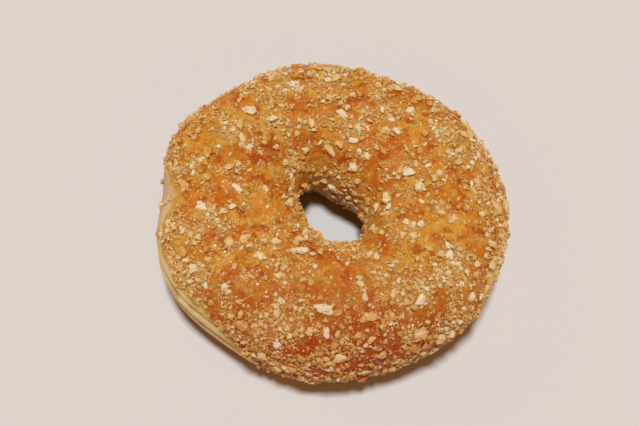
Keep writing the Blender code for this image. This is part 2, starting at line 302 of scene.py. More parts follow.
PINK_TURN, PINK_HALF = math.radians(188), math.radians(18)  # and all over on its left side
HOLE_GLAZE_DROP = 7.0 * MM  # how much deeper in the hole the glaze and the finer crumbs reach
SUNK_RANGE = (0.1, 0.5)  # share of a finer crumb's height that sits in the glaze

FLOOR_GAP, FLOOR_ROUGHNESS = 0.05 * MM, 0.9
CAMERA_RISE = math.radians(62)
CAMERA_ROLL = math.radians(14)
CAMERA_DISTANCE = 0.3035
CAMERA_SENSOR = 36.0  # width in mm
CAMERA_TARGET = RING_CENTRE + Vector((-3.9, 0.0, 14.9)) * MM
KEY_DIRECTION = Vector((-0.096, -0.065, 0.991)).normalized()  # towards the light
KEY_COLOUR = (0.965, 0.99, 1.0)
BACKDROP_COLOUR = (0.69, 0.63, 0.58, 1.0)  # seen beyond the floor
FILL_COLOUR = (1.0, 0.48, 0.17, 1.0)
FILL_LOW, FILL_HIGH = 1.85, 0.1  # strength of the soft light from low all round, and from above
FILL_EDGE = (0.55, 0.85)  # sines of the rise where it starts and stops to grow weaker


def smooth_step(value):
    value = min(1.0, max(0.0, value))
    return value * value * (3 - 2 * value)


def turn_between(a, b):
    """The angle between two directions, 0 to pi."""
    return abs((a - b + math.pi) % math.tau - math.pi)


def waist_share(around):
    """1 on the side where the waist is bare, 0 where crumbs cover it."""
    return smooth_step((WAIST_HALF + WAIST_FADE - turn_between(around, WAIST_TURN)) / WAIST_FADE)


def outline_radius(around):
    waves = sum(height * math.cos(count * (around - turn)) for count, height, turn in OUTLINE_WAVES)
    return RING_RADIUS + waves + WAIST_BULGE * waist_share(around)


def hole_radius(around):
    """Distance from the ring's middle to the hole's uneven oval, in that direction."""
    count, height, bulge = HOLE_WAVE
    corner, depth, half_width = HOLE_CORNER
    uneven = height * math.cos(count * (around - bulge))
    uneven += depth * math.exp(-((turn_between(around, corner) / half_width) ** 2))
    turn = around - HOLE_TURN
    along, across = math.cos(turn) / HOLE_LONG, math.sin(turn) / HOLE_SHORT
    centre = Matrix.Rotation(-HOLE_TURN, 2) @ Vector(HOLE_CENTRE)
    off_along, off_across = centre.x / HOLE_LONG, centre.y / HOLE_SHORT
    square = along * along + across * across
    half = along * off_along + across * off_across
    rest = off_along * off_along + off_across * off_across - 1
    return (half + math.sqrt(half * half - square * rest)) / square + uneven


def ring_height(around):
    share, turn = HEIGHT_WAVE
    return RING_HEIGHT * (1 + share * math.cos(around - turn))


def dough_point(around, section):
    """A point on the dough. section runs from the belly (0) over the crown to the hole (pi) and back."""
    outer, inner = outline_radius(around), hole_radius(around)
    middle, half_width = (outer + inner) / 2, (outer - inner) / 2
    height = ring_height(around)
    belly = height * BELLY_SHARE
    c, s = math.cos(section), math.sin(section)
    power = CROWN_POWER if s > 0 else BASE_POWER
    half_height = height - belly if s > 0 else belly + BASE_SINK
    reach = (abs(c) ** power + abs(s) ** power) ** (-1 / power)
    radius = middle + half_width * c * reach
    z = belly + half_height * s * reach
    outward = Vector((c * math.cos(around), c * math.sin(around), s))
    place = Vector((radius * math.cos(around), radius * math.sin(around), z))
    bump = sum(size * noise.noise(place / spacing) for size, spacing in SWELL)
    if c > 0:
        bump -= waist_share(around) * sum(
            depth * math.exp(-(((z - level) / width) ** 2)) for level, depth, width in CREASES
        )
    place += outward * bump
    place.z = max(place.z, 0.0)
    return place + RING_CENTRE


def dough_frame(around, section):
    """The point, axes there (round the ring, across it, outward) and the area for a unit of both angles."""
    step = 0.01
    place = dough_point(around, section)
    along = (dough_point(around + step, section) - place) / step
    across = (dough_point(around, section + step) - place) / step
    outward = along.cross(across)
    x, z = along.normalized(), outward.normalized()
    return place, Matrix((x, z.cross(x), z)).transposed(), outward.length


def section_at(around, distance):
    """The section angle on the crown that is this far from the ring's middle, seen from above."""
    outer, inner = outline_radius(around), hole_radius(around)
    share = (distance - (outer + inner) / 2) / ((outer - inner) / 2)
    share = min(0.999, max(-0.999, share))
    rise = (1 - abs(share) ** CROWN_POWER) ** (1 / CROWN_POWER)
    return math.atan2(rise, share)


def crumb_line(around, section):
    """The height that crumbs reach down to."""
    way = Vector((math.cos(around), math.sin(around), 0))
    wander = CRUMB_LINE_WANDER * noise.noise(CRUMB_LINE_WAVES * way)
    if math.cos(section) < 0:
        return CRUMB_LINE_HOLE + wander
    bare = waist_share(around)
    return CRUMB_LINE_LOW * (1 - bare) + CRUMB_LINE_HIGH * bare + wander


def patch_places():
    patches = []
    for degrees, distance, radius in BARE_PATCHES:
        around = math.radians(degrees)
        patches.append((dough_point(around, section_at(around, distance * MM)), radius * MM))
    return patches


def off_patches(place, patches):
    """0 in the middle of a bare patch, 1 away from all of them."""
    return math.prod(1 - math.exp(-(((place - centre).length / radius) ** 2)) for centre, radius in patches)


def crumb_cover(around, section, place, patches):
    """How thickly crumbs lie here, 0 to 1."""
    return off_patches(place, patches) if place.z >= crumb_line(around, section) else 0.0


def place_crumbs():
    """(place, axes, length, width, height, kind) of each crumb of the solid, largest first."""
    draw = random.Random(CRUMB_SEED)
    patches = patch_places()
    crumbs = []
    for degrees, distance, length, width, lie, kind in CHUNKS:
        around = math.radians(degrees)
        place, stand, _ = dough_frame(around, section_at(around, distance * MM))
        stand = stand @ Matrix.Rotation(math.radians(lie), 3, "Z")
        height = width * draw.uniform(*CRUMB_FLATNESS) * MM
        crumbs.append((place, stand, length * MM, width * MM, height, kind))
    most_area = 1.1 * RING_RADIUS * RING_HEIGHT
    for count, shortest, longest in CRUMB_GRADES:
        found = tries = 0
        while found < count and tries < TRIES_A_CRUMB * count:
            tries += 1
            around, section = draw.uniform(0, math.tau), draw.uniform(-0.5, math.pi + 0.5)
            place, stand, area = dough_frame(around, section)
            if draw.uniform(0, most_area) > area * crumb_cover(around, section, place, patches):
                continue
            length = draw.uniform(shortest, longest)
            if any((place - p).length < CRUMB_GAP * (length + size) / 2 for p, _, size, *_ in crumbs):
                continue
            width = length * draw.uniform(*CRUMB_WIDTH)
            height = length * draw.uniform(*CRUMB_FLATNESS)
            spin = Matrix.Rotation(draw.uniform(0, math.tau), 3, "Z")
            lean = Matrix.Rotation(draw.uniform(-CRUMB_TILT, CRUMB_TILT), 3, "X")
            crumbs.append((place, stand @ spin @ lean, length, width, height, None))
            found += 1
    return crumbs


# ----------
# The dough's mesh
# ----------
def add_object(name, data):
    made = bpy.data.objects.new(name, data)
    bpy.context.scene.collection.objects.link(made)
    return made


def make_piece(name, points, faces, masks, material, soft=True):
    """A piece that stands for the doughnut's solid. masks has a value for each point, by name."""
    mesh = bpy.data.meshes.new(name)
    mesh.from_pydata(points, [], faces)
    for mask, values in masks.items():
        mesh.attributes.new(mask, "FLOAT", "POINT").data.foreach_set("value", values)
    mesh.materials.append(material)
    if soft:
        mesh.shade_smooth()
    piece = add_object(name, mesh)
    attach(piece, "root")
    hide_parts(NODE)


def glaze_line(around, section):
    """The height that the glaze and the finer crumbs reach down to."""
    line = crumb_line(around, section)
    line += RAGGED_EDGE * noise.noise(dough_point(around, section) / RAGGED_SPACING)
    if math.cos(section) < 0:
        return max(line - HOLE_GLAZE_DROP, GLAZE_LOWEST)
    for turn, half_width, rise in LINE_SHIFTS:
        line += rise * math.exp(-((turn_between(around, turn) / half_width) ** 2))
    return max(line, GLAZE_LOWEST)


def glaze_share(around, section, place):
    """1 on the glaze, 0 below the line that it ends at."""
    return smooth_step((place.z - glaze_line(around, section)) / LINE_WIDTH + 0.5)


def finer_cover(around, section, place, patches):
    """How thickly the finer crumbs lie here, 0 to 1."""
    stop = HOLE_CRUMBS_STOP if math.cos(section) < 0 else CRUMBS_STOP
    if place.z < glaze_line(around, section) + stop:
        return 0.0
    thinned = 1 - HOLE_THINNING * hole_share(section, place, WALL_TOP, WALL_EDGE)
    return max(off_patches(place, patches) * thinned, BARE_SHARE)


def pale_share(section, place):
    """1 on the pale dough between the two fried halves, 0 on the browned base."""
    wander = WAIST_WANDER * noise.noise(place / WAIST_WANDER_SPACING)
    return smooth_step((place.z + wander - WAIST_LOW) / WAIST_EDGE) * (math.cos(section) > 0)


def hole_share(section, place, top, edge):
    """1 on the hole's wall from an edge below that top downwards, 0 outside the hole."""
    return smooth_step(-2 * math.cos(section)) * smooth_step((top - place.z) / edge)


def in_hole(place):
    """True on the hole's wall, which glaze has run down over the crumbs."""
    flat = (place - RING_CENTRE).xy
    return place.z < SOAKED_TOP and flat.length < hole_radius(math.atan2(flat.y, flat.x)) + SOAKED_WIDTH


def clump_cloud(place):
    """How closely the crumbs gather here, about -1 to 1."""
    wide, tight = CLUMP_SPACINGS
    return CLUMP_STRENGTH * (noise.noise(place / wide) + noise.noise(place / tight))


def crease_shade_share(section, place):
    """1 in the middle of a crease of the waist, where shade is painted as an olive line."""
    waver = CREASE_WAVER * noise.noise(place / CREASE_WAVER_SPACING)
    lines = (math.exp(-(((place.z + waver - level) / CREASE_LINE) ** 2)) for level, _, _ in CREASES)
    return max(lines) * (math.cos(section) > 0)


def pink_and_low_shade_share(around, place):
    """1 at the waist's lower edge, as painted shade near the floor, and on its left side, where it is the
    dough's own tone; 0 elsewhere.
    """
    low = smooth_step((PINK_LOW + PINK_EDGE - place.z) / PINK_EDGE)
    return max(low, math.exp(-((turn_between(around, PINK_TURN) / PINK_HALF) ** 2)))


def relief(around, section, place, glazed, pale):
    """How far the fine surface stands out from the dough's form: lumps, wrinkles or pits."""
    lumps = sum(size * noise.noise(place / spacing) for size, spacing in GLAZE_LUMPS)
    size, run, rise = DOUGH_WRINKLES
    wrinkle = size * noise.noise(Vector((around * RING_RADIUS / run, section, place.z / rise)))
    depth, spacing = CRUST_PITS
    pit = depth * noise.noise(place / spacing)
    return glazed * lumps + (1 - glazed) * (pale * wrinkle + (1 - pale) * pit)


def dough_shares(around, section, place, patches):
    """What the material and the topping have to know about a place on the dough."""
    cover = finer_cover(around, section, place, patches)
    return {
        "glazed": glaze_share(around, section, place),
        "pale": pale_share(section, place),
        "deep": hole_share(section, place, DEEP_TOP, DEEP_EDGE) * smooth_step(place.z / GLAZE_LOWEST),
        "wall": hole_share(section, place, WALL_TOP, WALL_EDGE),
        "crease_shade": crease_shade_share(section, place),
        "pink_and_low_shade": pink_and_low_shade_share(around, place),
        "cover": cover,
        "dust": cover * smooth_step(0.5 + DUST_CONTRAST * clump_cloud(place)),
    }


def make_dough(material):
    """The glazed ring: a grid of points round the ring and round its section, with fine relief."""
    patches = patch_places()
    places, lifts, shares = [], [], []
    for i in range(STEPS_ROUND):
        around = math.tau * i / STEPS_ROUND
        for j in range(STEPS_SECTION):
            even = math.tau * j / STEPS_SECTION
            section = even - BELLY_CROWDING * math.sin(even)
            place = dough_point(around, section)
            own = dough_shares(around, section, place, patches)
            places.append(place)
            lifts.append(relief(around, section, place, own["glazed"], own["pale"]))
            shares.append(own)
    masks = {name: [own[name] for own in shares] for name in shares[0]}
    grid = np.array(places).reshape(STEPS_ROUND, STEPS_SECTION, 3)
    along = np.roll(grid, -1, 0) - np.roll(grid, 1, 0)
    across = np.roll(grid, -1, 1) - np.roll(grid, 1, 1)
    outward = np.cross(along, across)
    outward /= np.linalg.norm(outward, axis=2, keepdims=True)
    grid += outward * np.array(lifts).reshape(STEPS_ROUND, STEPS_SECTION, 1)
    grid[:, :, 2] = np.maximum(grid[:, :, 2], 0.0)
    index = np.arange(STEPS_ROUND * STEPS_SECTION).reshape(STEPS_ROUND, STEPS_SECTION)
    ahead, above = np.roll(index, -1, 0), np.roll(index, -1, 1)
    corner = np.roll(ahead, -1, 1)
    faces = np.stack((index, ahead, corner, above), 2).reshape(-1, 4)
    make_piece("glazed_dough", grid.reshape(-1, 3).tolist(), faces.tolist(), masks, material)


# ----------
# The topping's meshes
# ----------
def any_direction(draw):
    return Vector(draw.gauss(0, 1) for _ in range(3)).normalized()


def add_lump(shape, draw, middle, size, corners):
    """Adds the hull of random corners round a middle."""
    reach = (size * draw.uniform(*CORNER_REACH) for _ in range(corners))
    own = [shape.verts.new(middle + away * any_direction(draw)) for away in reach]
    hull = bmesh.ops.convex_hull(shape, input=own)
    inside = [v for v in hull["geom_interior"] if isinstance(v, bmesh.types.BMVert)]
    bmesh.ops.delete(shape, geom=inside, context="VERTS")


def crumb_shape(seed, corners, cuts, roughness, knobs, knob_sizes):
    """A broken piece 1 across: a body, cut finer and roughened, with small knobs. Points, triangles."""
    draw = random.Random(seed)
    shape = bmesh.new()
    add_lump(shape, draw, Vector(), 1.0, corners)
    if cuts:
        bmesh.ops.subdivide_edges(shape, edges=shape.edges, cuts=cuts, use_grid_fill=True)
    axes = {"use_axis_x": True, "use_axis_y": True, "use_axis_z": True}
    for _ in range(cuts):
        bmesh.ops.smooth_vert(shape, verts=shape.verts, factor=0.5, **axes)
    for _ in range(knobs):
        middle = any_direction(draw) * draw.uniform(*KNOB_REACH)
        add_lump(shape, draw, middle, draw.uniform(*knob_sizes), KNOB_CORNERS)
    bmesh.ops.triangulate(shape, faces=shape.faces)
    bmesh.ops.recalc_face_normals(shape, faces=shape.faces)
    offset = Vector((seed * ROUGH_SHIFT, 0, 0))
    for vert in shape.verts:
        rough = sum(share * noise.noise(vert.co / spacing + offset) for share, spacing in ROUGH_OCTAVES)
        vert.co *= 1 + roughness * rough
    points = np.array([vert.co for vert in shape.verts])
    triangles = np.array([[vert.index for vert in face.verts] for face in shape.faces])
    shape.free()
    points -= (points.max(0) + points.min(0)) / 2
    points /= points.max(0) - points.min(0)
    return points, triangles


def crumb_shapes(seed, count, form):
    return [crumb_shape(seed + i, *form) for i in range(count)]


def make_crumbs(name, crumbs, shapes, sunk_range, material, seed, soft=True):
    """One piece with all crumbs of a kind. Each crumb is one of the shapes, sized and stood in its place."""
    draw = random.Random(seed)
    points, triangles, tint, lift = [], [], [], []
    start = 0
    for place, stand, length, width, height in crumbs:
        form, faces = draw.choice(shapes)
        sunk = draw.uniform(*sunk_range)
        size = np.array((length, width, height))
        turned = (form * size) @ np.array(stand).T
        centre = place + stand @ Vector((0, 0, height * (0.5 - sunk)))
        points.append(turned + np.array(centre))
        triangles.append(faces + start)
        start += len(form)
        tint.append(np.full(len(form), draw.random()))
        lift.append(np.clip((form[:, 2] + 0.5 - sunk) / (1 - sunk), 0, 1))
    masks = {"tint": np.concatenate(tint), "lift": np.concatenate(lift)}
    points, triangles = np.concatenate(points), np.concatenate(triangles)
    points[:, 2] = np.maximum(points[:, 2], CRUMB_FLOOR)
    make_piece(name, points.tolist(), triangles.tolist(), masks, material, soft)


def read_values(items, name, *width, kind=float):
    """That value of all items as an array. width is how many numbers it has, if more than one."""
    values = np.zeros(len(items) * math.prod(width), kind)
    items.foreach_get(name, values)
    return values.reshape(-1, *width)


def surface_of(dough):
    """The dough's faces as arrays: corners of each, normal, area, and how thickly crumbs lie there."""
    mesh = dough.data
    corners = read_values(mesh.polygons, "vertices", 4, kind=int)
    points, normals = read_values(mesh.vertices, "co", 3), read_values(mesh.polygons, "normal", 3)
    cover = read_values(mesh.attributes["cover"].data, "value")
    return points[corners], normals, read_values(mesh.polygons, "area"), cover[corners].mean(1)


def rim_share(centres, normals):
    """1 where the topping lies thickest: the slopes that face away from the ring's middle."""
    outward = centres[:, :2] / np.linalg.norm(centres[:, :2], axis=1, keepdims=True)
    return np.clip((normals[:, :2] * outward).sum(1), 0, 1)


def clump_share(centres):
    """How thickly the finer crumbs lie at each place, 1 in the middle: they gather in clumps."""
    return np.exp(CLUMP_CONTRAST * np.array([clump_cloud(Vector(centre)) for centre in centres]))


def wall_crumbs(kind):
    """The crumbs of that kind that cling low in the hole."""
    draw = random.Random(KIND_SEED)
    crumbs = []
    for turn, section, length, width, own_kind in WALL_CRUMBS:
        place, stand, _ = dough_frame(math.radians(turn), math.radians(section))
        height = width * draw.uniform(*CRUMB_FLATNESS) * MM
        if own_kind == kind:
            crumbs.append((place, stand, length * MM, width * MM, height))
    return crumbs


def spread_crumbs(surface, taken, count, shortest, longest, flatness, gap, seed, bare_share=0.0):
    """Places for finer crumbs on the glaze, clear of those taken before. Adds its own to taken."""
    corners, normals, areas, cover = surface
    centres = corners.mean(1)
    cover = np.where(cover > 0, np.maximum(cover, bare_share), 0)
    weights = areas * cover * (1 + RIM_EXTRA * rim_share(centres, normals)) * clump_share(centres)
    draw = np.random.RandomState(seed)
    found = []
    for pick in draw.choice(len(areas), count * DRAWS_A_CRUMB, p=weights / weights.sum()):
        u, v = draw.rand(2)
        a, b, c, d = corners[pick]
        place = Vector((a * (1 - u) + b * u) * (1 - v) + (d * (1 - u) + c * u) * v)
        length = draw.uniform(shortest, longest)
        cell = (place / TAKEN_CELL).to_tuple(0)
        near = [
            other
            for x in (-1, 0, 1)
            for y in (-1, 0, 1)
            for z in (-1, 0, 1)
            for other in taken.get((cell[0] + x, cell[1] + y, cell[2] + z), ())
        ]
        if any((place - other).length < gap * (length + size) / 2 for other, size in near):
            continue
        taken.setdefault(cell, []).append((place, length))
        stand = Vector(normals[pick]).to_track_quat("Z", "Y").to_matrix()
        stand = stand @ Matrix.Rotation(draw.uniform(0, math.tau), 3, "Z")
        stand = stand @ Matrix.Rotation(draw.uniform(-CRUMB_TILT, CRUMB_TILT), 3, "X")
        width = length * draw.uniform(*CRUMB_WIDTH)
        height = length * draw.uniform(*flatness)
        found.append((place, stand, length, width, height))
        if len(found) == count:
            break
    return found


# ----------
# Materials
# ----------
def add_node(tree, kind, sockets=None, **settings):
    """Adds a node. sockets has what goes into its inputs: values, or outputs of other nodes."""
    made = tree.nodes.new(kind)
    for name, value in settings.items():
        setattr(made, name, value)
    for key, value in (sockets or {}).items():
        if isinstance(value, bpy.types.NodeSocket):
            tree.links.new(value, made.inputs[key])
        else:
            made.inputs[key].default_value = value
    return made


def mix_colours(tree, share, first, second):
    return add_node(tree, "ShaderNodeMix", {0: share, 6: first, 7: second}, data_type="RGBA").outputs[2]


def layer_colours(tree, colour, *layers):
    """A base colour with others over it. layers has the share and the colour of each."""
    for share, over in layers:
        colour = mix_colours(tree, share, colour, over)
    return colour


def calculate(tree, operation, *values):
    return add_node(tree, "ShaderNodeMath", dict(enumerate(values)), operation=operation).outputs[0]


def product(tree, value, *others):
    for other in others:
        value = calculate(tree, "MULTIPLY", value, other)
    return value


def ramp(tree, value, start=0.0, stop=1.0, first=0.0, last=1.0, kind="LINEAR"):
    """Goes from first to last while the value goes from start to stop."""
    sockets = {"Value": value, "From Min": start, "From Max": stop, "To Min": first, "To Max": last}
    return add_node(tree, "ShaderNodeMapRange", sockets, interpolation_type=kind).outputs[0]


def vectors(tree, operation, sockets):
    return add_node(tree, "ShaderNodeVectorMath", sockets, operation=operation).outputs


def attribute(tree, name):
    return add_node(tree, "ShaderNodeAttribute", attribute_name=name).outputs["Fac"]


def new_group(name, inputs, outputs):
    """A node group with plain number sockets, and its input and output nodes."""
    tree = bpy.data.node_groups.new(name, "ShaderNodeTree")
    for label, value in inputs:
        socket = tree.interface.new_socket(label, in_out="INPUT", socket_type="NodeSocketFloat")
        socket.default_value = value
    for label in outputs:
        tree.interface.new_socket(label, in_out="OUTPUT", socket_type="NodeSocketFloat")
    return tree, tree.nodes.new("NodeGroupInput").outputs, tree.nodes.new("NodeGroupOutput").inputs


def spaced_place(tree, spacing):
    """The place on the object, counted in that spacing."""
    place = add_node(tree, "ShaderNodeTexCoord").outputs["Object"]
    return vectors(tree, "SCALE", {0: place, "Scale": calculate(tree, "DIVIDE", 1.0, spacing)})[0]


def mottle_group():
    """Soft uneven patches: Spacing is their size, Balance how few there are, Softness their edge."""
    inputs = ("Spacing", 3 * MM), ("Balance", 0.5), ("Softness", 0.1)
    group, given, out = new_group("mottle", inputs, ("Mask",))
    place = spaced_place(group, given["Spacing"])
    cloud = add_node(group, "ShaderNodeTexNoise", {"Vector": place, "Scale": 1, "Detail": PATCH_DETAIL})
    low = calculate(group, "SUBTRACT", given["Balance"], given["Softness"])
    high = calculate(group, "ADD", given["Balance"], given["Softness"])
    mask = ramp(group, cloud.outputs["Fac"], low, high, kind="SMOOTHSTEP")
    group.links.new(mask, out["Mask"])
    return group


def granule_group():
    """Small lumps packed side by side: Height of each, and Pick, a number of its own for each lump."""
    group, given, out = new_group("granules", (("Spacing", 1 * MM), ("Warp", 0.5)), ("Height", "Pick"))
    place = spaced_place(group, given["Spacing"])
    waves = {"Vector": place, "Scale": WARP_WAVES, "Detail": WARP_DETAIL}
    cloud = add_node(group, "ShaderNodeTexNoise", waves)
    push = vectors(group, "SCALE", {0: cloud.outputs["Color"], "Scale": given["Warp"]})[0]
    warped = vectors(group, "ADD", {0: place, 1: push})[0]
    cells = add_node(group, "ShaderNodeTexVoronoi", {"Vector": warped, "Scale": 1}).outputs
    away = ramp(group, cells["Distance"], stop=LUMP_EDGE, kind="SMOOTHSTEP")
    group.links.new(calculate(group, "SUBTRACT", 1.0, away), out["Height"])
    pick = add_node(group, "ShaderNodeSeparateColor", {0: cells["Color"]})
    group.links.new(pick.outputs[0], out["Pick"])
    return group


def place_group(tree, name, build, **sockets):
    """Outputs of a node group that is built once and placed with its own values."""
    group = bpy.data.node_groups.get(name) or build()
    return add_node(tree, "ShaderNodeGroup", sockets, node_tree=group).outputs


def mottle(tree, spacing, balance, softness):
    return place_group(tree, "mottle", mottle_group, Spacing=spacing, Balance=balance, Softness=softness)[0]


def granules(tree, spacing, warp):
    lumps = place_group(tree, "granules", granule_group, Spacing=spacing, Warp=warp)
    return lumps["Height"], lumps["Pick"]


def new_material(name, gloss, scatter):
    material = bpy.data.materials.new(name)
    material.use_nodes = True
    tree = material.node_tree
    surface = tree.nodes["Principled BSDF"].inputs
    surface["Specular IOR Level"].default_value = gloss
    surface["Coat Roughness"].default_value = COAT_ROUGHNESS
    for part, value in zip(("Weight", "Radius", "Scale"), scatter):
        surface["Subsurface " + part].default_value = value
    return material, tree, surface


def bump(tree, surface, height, distance):
    made = add_node(tree, "ShaderNodeBump", {"Height": height, "Distance": distance, "Strength": 1.0})
    tree.links.new(made.outputs[0], surface["Normal"])


def side_shade_share(tree):
    """How much darker and redder the glaze is painted towards one side: painted shade."""
    place = add_node(tree, "ShaderNodeTexCoord").outputs["Object"]
    return ramp(tree, vectors(tree, "DOT_PRODUCT", {0: place, 1: SHADED_SIDE})["Value"], *SIDE_SHADE_RAMP)


def make_dough_material(colours):
    """Amber glaze with small bits under it, pale dough at the waist and a browned base, with painted shade
    darker towards one side, in the creases, at the waist's lower edge and low in the hole, and painted light
    on the hole's wall.
    """
    material, tree, surface = new_material("glazed_dough", GLAZE_GLOSS, GLAZE_SCATTER)
    glazed, side_shade = attribute(tree, "glazed"), side_shade_share(tree)
    lump, pick = granules(tree, *FLECKS)
    fine, fine_pick = granules(tree, *GLAZE_GRAIN)
    spots = product(tree, mottle(tree, *BROWN_PATCHES), BROWN_DEPTH)
    flecks = product(tree, ramp(tree, pick, *FLECK_PICK), mottle(tree, *FLECK_PATCHES), lump)
    glaze = layer_colours(
        tree,
        colours.glaze_orange,
        (mottle(tree, *AMBER_PATCHES), colours.glaze_amber),
        (mottle(tree, *GOLD_PATCHES), colours.glaze_gold),
        # brown patches of the glaze, and painted shade towards the shaded side
        (calculate(tree, "MAXIMUM", spots, side_shade), colours.glaze_brown_and_side_shade),
        (flecks, colours.fleck),
        (product(tree, ramp(tree, fine_pick, *LIGHT_PICK), fine), colours.fleck),
        (ramp(tree, fine_pick, *DARK_PICK), colours.glaze_brown_and_side_shade),
        # painted light: the hole's shaded wall is lightened with the thin glaze colour
        (product(tree, attribute(tree, "wall"), WALL_DEPTH), colours.thin_glaze_and_painted_light),
        (product(tree, attribute(tree, "dust"), DUST_DEPTH), colours.dust),
        # painted shade: a darker veil towards the shaded side
        (product(tree, side_shade, SIDE_SHADE_VEIL), colours.glaze_brown_and_side_shade),
    )
    dough = layer_colours(
        tree,
        colours.dough_pale,
        # painted shade at the waist's lower edge, and the dough's own pinkish tone on its left side
        (attribute(tree, "pink_and_low_shade"), colours.dough_pink_and_low_shade),
        (mottle(tree, *BLOTCHES), colours.dough_blotch),
        # painted shade: olive lines in the waist's creases
        (product(tree, attribute(tree, "crease_shade"), mottle(tree, *CREASE_BREAKS)), colours.dough_crease_shade),
    )
    colour = layer_colours(
        tree,
        colours.crust_brown,
        (mottle(tree, *CRUST_PATCHES), colours.crust_dark),
        (attribute(tree, "pale"), dough),
        (glazed, glaze),
        (product(tree, glazed, calculate(tree, "SUBTRACT", 1.0, glazed), RIM_DEPTH), colours.glaze_rim),
        # dark crust low in the hole, which is also painted shade there
        (attribute(tree, "deep"), colours.crust_deep_and_painted_shade),
    )
    wet = product(tree, glazed, mottle(tree, *WET_PATCHES))
    roughness = ramp(tree, wet, first=DRY_ROUGHNESS, last=WET_ROUGHNESS)
    tree.links.new(colour, surface["Base Color"])
    tree.links.new(roughness, surface["Roughness"])
    tree.links.new(product(tree, ramp(tree, fine_pick, *GLINT_PICK), fine, wet), surface["Coat Weight"])
    height = product(tree, calculate(tree, "MULTIPLY_ADD", fine, FINE_HEIGHT, lump), glazed)
    bump(tree, surface, height, GLAZE_BUMP)
    return material


def make_crumb_material(name, light, dark, soaked, side_shade, soak, roughness, coat):
    """A crumb: each has its own tone between light and dark, its foot has drunk in some glaze, and it is
    painted redder towards one side as shade.
    """
    material, tree, surface = new_material(name, CRUMB_GLOSS, CRUMB_SCATTER)
    fine, pick = granules(tree, *CRUMB_GRAIN)
    # painted shade: crumbs redder towards the shaded side
    crumb_side_shade = side_shade_share(tree)
    foot = ramp(tree, attribute(tree, "lift"), stop=FOOT_TOP, first=soak, last=0.0)
    stain = product(tree, mottle(tree, *CRUMB_STAINS), soak, STAIN_DEPTH)
    colour = layer_colours(
        tree,
        light,
        (calculate(tree, "POWER", attribute(tree, "tint"), TINT_CURVE), dark),
        (product(tree, pick, GRAIN_TONE), dark),
        # painted shade towards the shaded side, also in the stained foot
        (product(tree, crumb_side_shade, SIDE_SHADE_TONE), side_shade),
        (calculate(tree, "MAXIMUM", foot, stain), mix_colours(tree, crumb_side_shade, soaked, side_shade)),
    )
    tree.links.new(colour, surface["Base Color"])
    surface["Roughness"].default_value = roughness
    surface["Coat Weight"].default_value = coat
    bump(tree, surface, fine, CRUMB_BUMP)
    return material


# ----------
# Settings that a user would change
# ----------
def colour_setting(name, description, red, green, blue):
    sort = {"subtype": "COLOR", "size": 4, "min": 0.0, "max": 1.0}
    colour = (red, green, blue, 1.0)
    return bpy.props.FloatVectorProperty(name=name, description=description, default=colour, **sort)


def count_setting(name, description, default):
    return bpy.props.IntProperty(name=name, description=description, default=default, min=0)


def number_setting(name, description, default, unit="NONE", least=0.0):
    return bpy.props.FloatProperty(name=name, description=description, default=default, min=least, unit=unit)


class DoughnutColours(bpy.types.PropertyGroup):
    """Colours of the dough and its topping."""

    glaze_orange: colour_setting("Orange glaze", "Glaze where it is thick", 0.58, 0.155, 0.007)
    glaze_amber: colour_setting("Amber glaze", "Glaze where it is thin", 0.69, 0.28, 0.018)
    glaze_gold: colour_setting("Golden glaze", "Lightest patches of the glaze", 0.73, 0.40, 0.055)
    # darkest glaze patches, also painted shade towards the shaded side
    glaze_brown_and_side_shade: colour_setting("Brown glaze", "Darkest patches of the glaze", 0.42, 0.058, 0.006)
    glaze_rim: colour_setting("Glaze edge", "Thin edge of the glaze, next to the waist", 0.60, 0.36, 0.06)
    # thin glaze that is also painted light, lightening the shaded wall of the hole
    thin_glaze_and_painted_light: colour_setting("Thin glaze", "Glaze on the hole's wall", 0.96, 0.50, 0.11)
    fleck: colour_setting("Flecks", "Bits of crumb under the glaze", 0.84, 0.55, 0.20)
    dust: colour_setting("Crumb dust", "Glaze between the crumbs of a clump", 0.80, 0.43, 0.09)
    dough_blotch: colour_setting("Blotches", "Darker spots on the pale dough", 0.66, 0.48, 0.19)
    dough_pale: colour_setting("Pale dough", "The waist between the fried halves", 0.74, 0.63, 0.31)
    # painted shade at the waist's lower edge, own tone on its left side
    dough_pink_and_low_shade: colour_setting("Pinkish dough", "The waist's lower edge and left side", 0.66, 0.43, 0.26)
    # painted shade in the waist's creases
    dough_crease_shade: colour_setting("Dough in creases", "Lines along the waist", 0.36, 0.27, 0.09)
    crust_brown: colour_setting("Browned crust", "The fried base", 0.36, 0.16, 0.055)
    crust_dark: colour_setting("Dark crust", "Darker patches of the base", 0.24, 0.09, 0.03)
    # dark crust that is also painted shade low in the hole
    crust_deep_and_painted_shade: colour_setting("Crust in the hole", "Low on the hole's wall", 0.25, 0.055, 0.014)
    pale_crumb: colour_setting("Pale crumbs", "The lightest chunks", 0.90, 0.83, 0.62)
    cream_crumb: colour_setting("Cream crumbs", "Light crumbs", 0.87, 0.73, 0.40)
    toasted_crumb: colour_setting("Toasted crumbs", "Tan crumbs", 0.82, 0.57, 0.23)
    toasted_dark: colour_setting("Dark toasted crumbs", "The darkest tan crumbs", 0.68, 0.36, 0.08)
    glazed_crumb: colour_setting("Glazed crumbs", "Crumbs that the glaze covers", 0.75, 0.42, 0.10)
    grain: colour_setting("Grains", "The finest crumbs and sugar", 0.84, 0.59, 0.27)


class DoughnutTopping(bpy.types.PropertyGroup):
    """How many crumbs of each kind lie on the glaze, besides those of the solid."""

    pale: count_setting("Pale crumbs", "Small pale crumbs", 240)
    cream: count_setting("Cream crumbs", "Small cream crumbs", 1000)
    toasted: count_setting("Toasted crumbs", "Small tan crumbs", 1100)
    glazed: count_setting("Glazed crumbs", "Small crumbs under the glaze", 700)
    grains: count_setting("Grains", "Finest crumbs and sugar", 12000)


